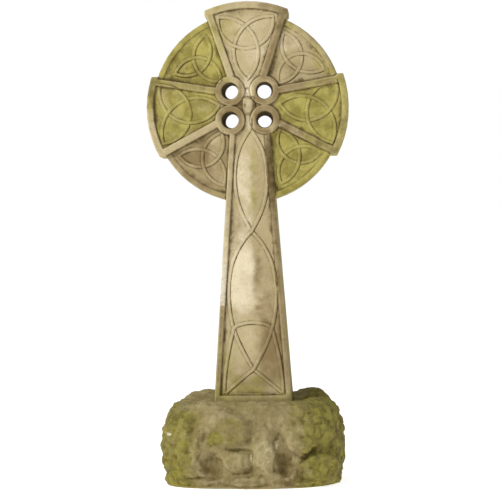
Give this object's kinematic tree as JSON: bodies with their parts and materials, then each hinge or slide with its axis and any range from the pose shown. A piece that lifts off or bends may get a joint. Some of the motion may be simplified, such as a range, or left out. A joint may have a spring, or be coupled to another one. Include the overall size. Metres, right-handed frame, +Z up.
{
  "type": "ringed cross memorial",
  "caption": "Wheel-headed stone cross with knotwork on its front and round holes through its head, standing in a rough boulder plinth, for a grave or garden",
  "frame": {"origin": "on the ground, in the middle of the object's bounding box", "axes": "+Z up along the shaft, the carved front faces -Y, +X to the right seen from the front"},
  "size_m": [0.503, 0.3096, 1.2],
  "materials": {
    "cast_stone": "weathered cast stone with moss and dirt in the hollows",
    "mossy_rock": "rough cast rock, pitted and mossy"
  },
  "bodies": {
    "root": {"cross": "cast_stone", "rock_plinth": "mossy_rock"}
  },
  "joints": []
}
